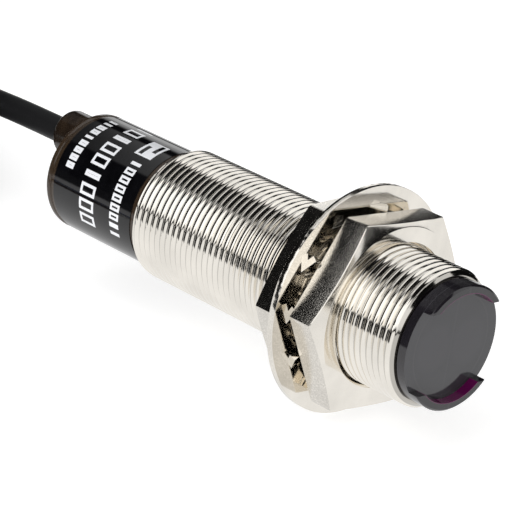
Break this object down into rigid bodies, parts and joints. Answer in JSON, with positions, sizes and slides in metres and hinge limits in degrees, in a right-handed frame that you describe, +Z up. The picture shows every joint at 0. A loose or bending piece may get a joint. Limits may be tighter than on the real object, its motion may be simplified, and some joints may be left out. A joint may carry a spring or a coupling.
{
  "type": "photoelectric sensor",
  "caption": "Cylindrical threaded photoelectric sensor with lens cap, fixing nuts, lock washer, printed sleeve, adjuster and coiled connecting cable.",
  "frame": {"origin": "on the surface the sensor lies on, below the middle of its length, without the free cable", "axes": "+X along the barrel towards the lens, +Z up, lugs of the lens cap above and below the axis"},
  "size_m": [0.1469, 0.0554, 0.03],
  "materials": {
    "nickel_barrel": "nickel plating on brass, bright, turned thread",
    "nickel_nut": "nickel plating, slightly blasted flats, bright edges",
    "nickel_washer": "nickel-plated spring steel, smooth",
    "ir_plastic": "infrared-pass plastic, almost black, magenta where light crosses it",
    "seal_rubber": "matt nitrile rubber",
    "black_plastic": "matt moulded",
    "clear_lens": "clear moulded optics",
    "emitter_epoxy": "tinted epoxy",
    "receiver_epoxy": "dark epoxy",
    "board_laminate": "green solder mask on glass-fibre laminate",
    "chip_case": "moulded chip package with tinned legs",
    "chip_ceramic": "ceramic chip",
    "led_epoxy": "red tinted epoxy",
    "adjuster_case": "moulded trimmer case",
    "screw_brass": "turned",
    "smoky_plastic": "smoky brown polycarbonate, lets the indicator shine through",
    "label_film": "glossy black printed film",
    "clamp_steel": "crimped",
    "cable_jacket": "black oil-resistant PVC, satin",
    "strap_plastic": "moulded strap",
    "core_brown": "PVC insulation",
    "core_blue": "PVC insulation",
    "core_black": "PVC insulation",
    "core_white": "PVC insulation",
    "tinned_copper": "tinned strands"
  },
  "bodies": {
    "root": {"housing_barrel": "nickel_barrel", "lens_cap": "ir_plastic", "lens_cap_seal": "seal_rubber", "lens_holder": "black_plastic", "emitter_lens": "clear_lens", "receiver_lens": "clear_lens", "emitter_led": "emitter_epoxy", "receiver_photodiode": "receiver_epoxy", "front_board": "board_laminate", "main_board": "board_laminate", "controller_chip": "chip_case", "chip_resistors": "chip_case", "chip_capacitors": "chip_ceramic", "output_transistor": "chip_case", "protection_diode": "chip_case", "indicator_led": "led_epoxy", "rear_sleeve": "smoky_plastic", "label_sleeve": "label_film", "rear_cap": "smoky_plastic", "adjuster_body": "adjuster_case", "cable_clamp": "clamp_steel", "cable_inside": "cable_jacket", "lead_brown": "core_brown", "lead_blue": "core_blue", "lead_black": "core_black", "lead_white": "core_white", "cable_tube": "cable_jacket", "cable_coil": "cable_jacket", "coil_tie": "strap_plastic", "cable_tail": "cable_jacket", "wire_tips": "tinned_copper", "wire_brown": "core_brown", "wire_blue": "core_blue", "wire_black": "core_black", "wire_white": "core_white"},
    "rear_nut": {"rear_nut": "nickel_nut"},
    "front_nut": {"front_nut": "nickel_nut"},
    "lock_washer": {"lock_washer": "nickel_washer"},
    "adjuster_screw": {"adjuster_rotor": "screw_brass"}
  },
  "joints": [
    {"name": "washer_slide", "type": "slide", "parent": "root", "child": "lock_washer", "axis": [1, 0, 0], "range_m": [0, 0.008]},
    {"name": "front_nut_turn", "type": "hinge", "parent": "lock_washer", "child": "front_nut", "pos_m": [0.0234, 0, 0.015], "axis": [1, 0, 0], "range_deg": [0, 2881]},
    {"name": "rear_nut_slide", "type": "slide", "parent": "root", "child": "rear_nut", "axis": [1, 0, 0], "range_m": [-0.027, 0]},
    {"name": "sensitivity_turn", "type": "hinge", "parent": "root", "child": "adjuster_screw", "pos_m": [-0.0261, 0, 0.0112], "axis": [1, 0, 0], "range_deg": [-105, 105]}
  ],
  "couplings": [
    {"joint": "front_nut_turn", "follows": "washer_slide", "rad_per_m": 6283.2}
  ]
}
